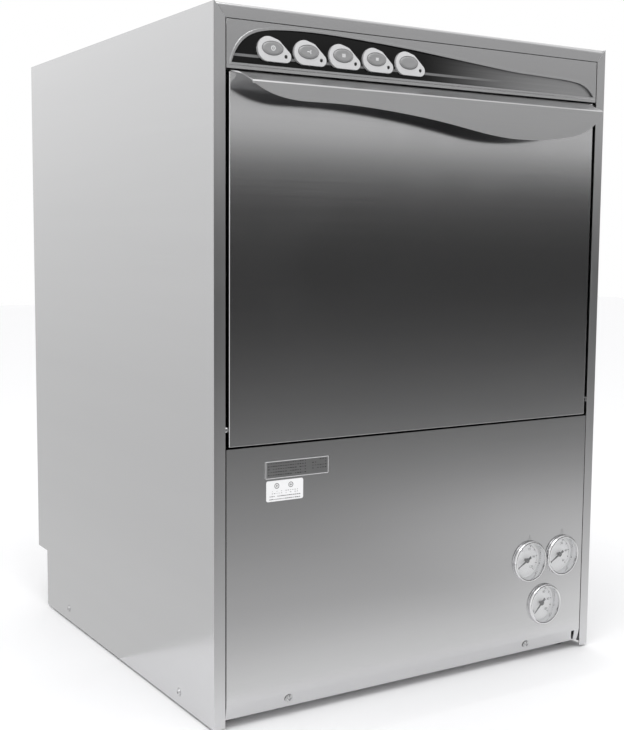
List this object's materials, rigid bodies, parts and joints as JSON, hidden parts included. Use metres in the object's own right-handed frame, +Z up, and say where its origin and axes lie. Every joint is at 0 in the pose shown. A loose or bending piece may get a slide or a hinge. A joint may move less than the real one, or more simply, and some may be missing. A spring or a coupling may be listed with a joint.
{
  "type": "commercial dishwasher",
  "caption": "Undercounter commercial dishwasher: stainless cabinet, drop-down door with a wave-cut grip, oval push keys, round gauges, spray arms, wash tank, pump, boiler and levelling feet.",
  "frame": {"origin": "on the floor, under the middle of the machine's outline", "axes": "+X right seen from the front, +Y to the back, +Z up"},
  "size_m": [0.6136, 0.6538, 0.851],
  "materials": {
    "stainless": "fine brushed stainless sheet",
    "tank_steel": "satin stainless",
    "hardware_steel": "bright machined steel",
    "gloss_black": "glossy back-printed panel",
    "key_silver": "silver-coated plastic",
    "lamp_dark": "dark smoked lens",
    "board_green": "solder-masked board",
    "arm_plastic": "moulded polypropylene",
    "pump_plastic": "moulded black plastic",
    "motor_enamel": "enamelled cast motor body",
    "boiler_steel": "welded stainless drum",
    "inlet_brass": "turned brass",
    "gasket_rubber": "extruded seal",
    "bezel_chrome": "polished chrome bezel",
    "dial_white": "printed dial",
    "needle_black": "black enamel",
    "gauge_glass": "flat clear glass",
    "plate_silver": "printed foil plate",
    "label_white": "white printed label",
    "foot_rubber": "rubber pad on a steel stud"
  },
  "bodies": {
    "cabinet": {"side_panel_left": "stainless", "side_panel_right": "stainless", "top_cover": "stainless", "back_panel": "stainless", "recess_shelf": "stainless", "service_panel": "stainless", "lower_front_panel": "stainless", "control_fascia": "stainless", "wash_tank": "tank_steel", "tank_sump": "tank_steel", "rack_rails": "tank_steel", "scrap_screen": "tank_steel", "lower_manifold": "tank_steel", "upper_manifold": "tank_steel", "base_pan": "tank_steel", "hinge_brackets": "hardware_steel", "door_springs": "hardware_steel", "panel_screws": "hardware_steel", "tank_heater": "hardware_steel", "control_overlay": "gloss_black", "key_bezels": "key_silver", "key_lamps": "lamp_dark", "control_board": "board_green", "wash_pump_casing": "pump_plastic", "drain_pipe": "pump_plastic", "doser_housing": "pump_plastic", "cable_gland": "pump_plastic", "fill_valve": "pump_plastic", "wash_pump_motor": "motor_enamel", "rinse_boiler": "boiler_steel", "water_inlet": "inlet_brass", "door_gasket": "gasket_rubber", "gauge_cases": "bezel_chrome", "gauge_dials": "dial_white", "gauge_lenses": "gauge_glass", "rating_plate": "plate_silver", "instruction_label": "label_white"},
    "key_body_1": {"key_1": "key_silver"},
    "key_body_2": {"key_2": "key_silver"},
    "key_body_3": {"key_3": "key_silver"},
    "key_body_4": {"key_4": "key_silver"},
    "key_body_5": {"key_5": "key_silver"},
    "door": {"door_outer_skin": "stainless", "door_inner_skin": "tank_steel", "door_handle": "stainless", "hinge_pins": "hardware_steel"},
    "standpipe": {"overflow_standpipe": "arm_plastic"},
    "lower_wash": {"lower_wash_arm": "arm_plastic"},
    "upper_wash": {"upper_wash_arm": "arm_plastic"},
    "lower_rinse": {"lower_rinse_arm": "arm_plastic"},
    "upper_rinse": {"upper_rinse_arm": "arm_plastic"},
    "impeller": {"pump_impeller": "pump_plastic"},
    "doser_wheel": {"doser_rotor": "pump_plastic"},
    "needle_wash": {"gauge_needle_1": "needle_black"},
    "needle_rinse": {"gauge_needle_2": "needle_black"},
    "needle_pressure": {"gauge_needle_3": "needle_black"},
    "foot_left_front": {"foot_1": "foot_rubber"},
    "foot_left_rear": {"foot_2": "foot_rubber"},
    "foot_right_front": {"foot_3": "foot_rubber"},
    "foot_right_rear": {"foot_4": "foot_rubber"}
  },
  "joints": [
    {"name": "door_hinge", "type": "hinge", "parent": "cabinet", "child": "door", "pos_m": [0, -0.2869, 0.363], "axis": [1, 0, 0], "range_deg": [0, 90], "deforming": ["door_springs"]},
    {"name": "key_1_press", "type": "slide", "parent": "cabinet", "child": "key_body_1", "axis": [0, 1, 0], "range_m": [0, 0.0015], "stiffness_N_per_m": 600},
    {"name": "key_2_press", "type": "slide", "parent": "cabinet", "child": "key_body_2", "axis": [0, 1, 0], "range_m": [0, 0.0015], "stiffness_N_per_m": 600},
    {"name": "key_3_press", "type": "slide", "parent": "cabinet", "child": "key_body_3", "axis": [0, 1, 0], "range_m": [0, 0.0015], "stiffness_N_per_m": 600},
    {"name": "key_4_press", "type": "slide", "parent": "cabinet", "child": "key_body_4", "axis": [0, 1, 0], "range_m": [0, 0.0015], "stiffness_N_per_m": 600},
    {"name": "key_5_press", "type": "slide", "parent": "cabinet", "child": "key_body_5", "axis": [0, 1, 0], "range_m": [0, 0.0015], "stiffness_N_per_m": 600},
    {"name": "lower_wash_spin", "type": "hinge", "parent": "cabinet", "child": "lower_wash", "pos_m": [0, 0.0076, 0.4], "axis": [0, 0, 1], "continuous": true},
    {"name": "upper_wash_spin", "type": "hinge", "parent": "cabinet", "child": "upper_wash", "pos_m": [0, 0.0076, 0.4], "axis": [0, 0, 1], "continuous": true},
    {"name": "lower_rinse_spin", "type": "hinge", "parent": "cabinet", "child": "lower_rinse", "pos_m": [0, 0.0076, 0.4], "axis": [0, 0, 1], "continuous": true},
    {"name": "upper_rinse_spin", "type": "hinge", "parent": "cabinet", "child": "upper_rinse", "pos_m": [0, 0.0076, 0.4], "axis": [0, 0, 1], "continuous": true},
    {"name": "standpipe_lift", "type": "slide", "parent": "cabinet", "child": "standpipe", "axis": [0, 0, 1], "range_m": [0, 0.2]},
    {"name": "impeller_spin", "type": "hinge", "parent": "cabinet", "child": "impeller", "pos_m": [-0.05, 0.0076, 0.17], "axis": [0, 1, 0], "continuous": true},
    {"name": "doser_spin", "type": "hinge", "parent": "cabinet", "child": "doser_wheel", "pos_m": [-0.225, -0.2149, 0.155], "axis": [0, 1, 0], "continuous": true},
    {"name": "wash_needle_turn", "type": "hinge", "parent": "cabinet", "child": "needle_wash", "pos_m": [0.1884, -0.2949, 0.142], "axis": [0, 1, 0], "range_deg": [0, 240], "stiffness_Nm_per_rad": 0.00005},
    {"name": "rinse_needle_turn", "type": "hinge", "parent": "cabinet", "child": "needle_rinse", "pos_m": [0.2495, -0.2949, 0.1428], "axis": [0, 1, 0], "range_deg": [0, 240], "stiffness_Nm_per_rad": 0.00005},
    {"name": "pressure_needle_turn", "type": "hinge", "parent": "cabinet", "child": "needle_pressure", "pos_m": [0.218, -0.2949, 0.0765], "axis": [0, 1, 0], "range_deg": [0, 270], "stiffness_Nm_per_rad": 0.00005},
    {"name": "foot_left_front_screw", "type": "slide", "parent": "cabinet", "child": "foot_left_front", "axis": [0, 0, -1], "range_m": [0, 0.02]},
    {"name": "foot_left_rear_screw", "type": "slide", "parent": "cabinet", "child": "foot_left_rear", "axis": [0, 0, -1], "range_m": [0, 0.02]},
    {"name": "foot_right_front_screw", "type": "slide", "parent": "cabinet", "child": "foot_right_front", "axis": [0, 0, -1], "range_m": [0, 0.02]},
    {"name": "foot_right_rear_screw", "type": "slide", "parent": "cabinet", "child": "foot_right_rear", "axis": [0, 0, -1], "range_m": [0, 0.02]}
  ]
}
